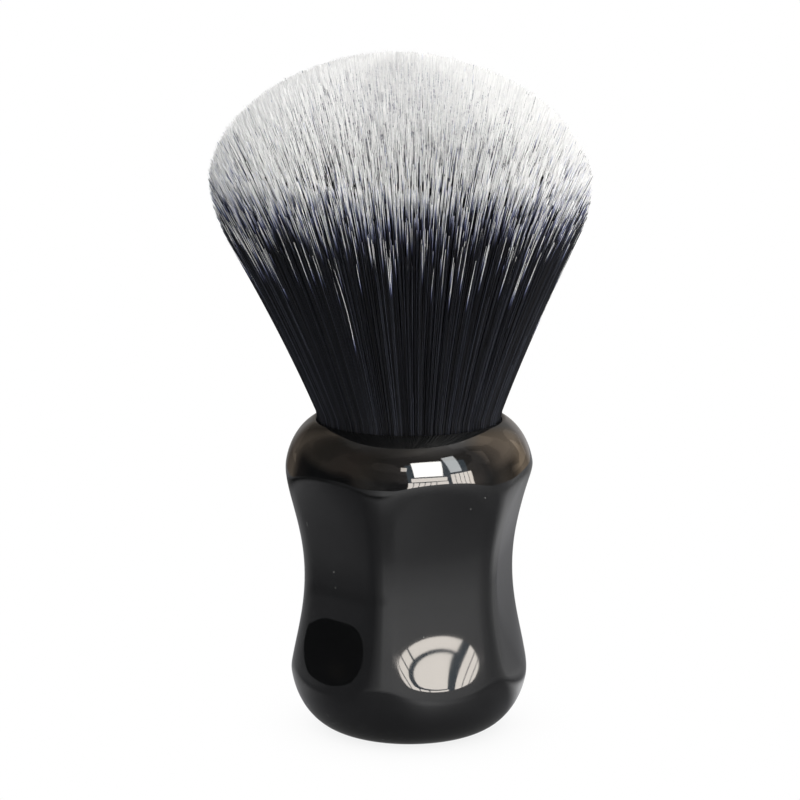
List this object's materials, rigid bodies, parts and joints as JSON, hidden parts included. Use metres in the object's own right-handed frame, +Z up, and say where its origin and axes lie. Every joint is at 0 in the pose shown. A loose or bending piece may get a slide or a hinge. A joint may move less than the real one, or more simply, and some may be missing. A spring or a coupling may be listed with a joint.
{
  "type": "shaving brush",
  "caption": "Barber's shaving brush: a scalloped hourglass resin handle with a wide, domed knot of black fibre with white tips that bends at its root.",
  "frame": {"origin": "centre of the flat underside of the handle", "axes": "+Z up along the handle's axis towards the fibre tips; one scallop of the handle faces -Y; +X to the right when looking along +Y"},
  "size_m": [0.0606, 0.0604, 0.1098],
  "materials": {
    "black_resin": "gloss black cast resin, polished",
    "clear_epoxy": "cured clear adhesive",
    "cast_epoxy": "cast epoxy full of cut fibre ends",
    "waxed_cord": "twisted cord",
    "black_fibre": "black synthetic filament with a soft sheen",
    "white_fibre": "white synthetic filament tips with a soft sheen"
  },
  "bodies": {
    "handle": {"handle": "black_resin", "bedding_adhesive": "clear_epoxy", "knot_plug": "cast_epoxy", "binding_thread": "waxed_cord", "fibre_root": "black_fibre"},
    "knot_mid": {"fibre_mid": "black_fibre"},
    "knot_head": {"fibre_head": "white_fibre"}
  },
  "joints": [
    {"name": "knot_bend_fore_aft", "type": "hinge", "parent": "handle", "child": "knot_mid", "pos_m": [0, 0, 0.05], "axis": [1, 0, 0], "range_deg": [-25, 25], "stiffness_Nm_per_rad": 0.35},
    {"name": "knot_bend_sideways", "type": "hinge", "parent": "knot_mid", "child": "knot_head", "pos_m": [0, 0, 0.05], "axis": [0, 1, 0], "range_deg": [-25, 25], "stiffness_Nm_per_rad": 0.35}
  ]
}
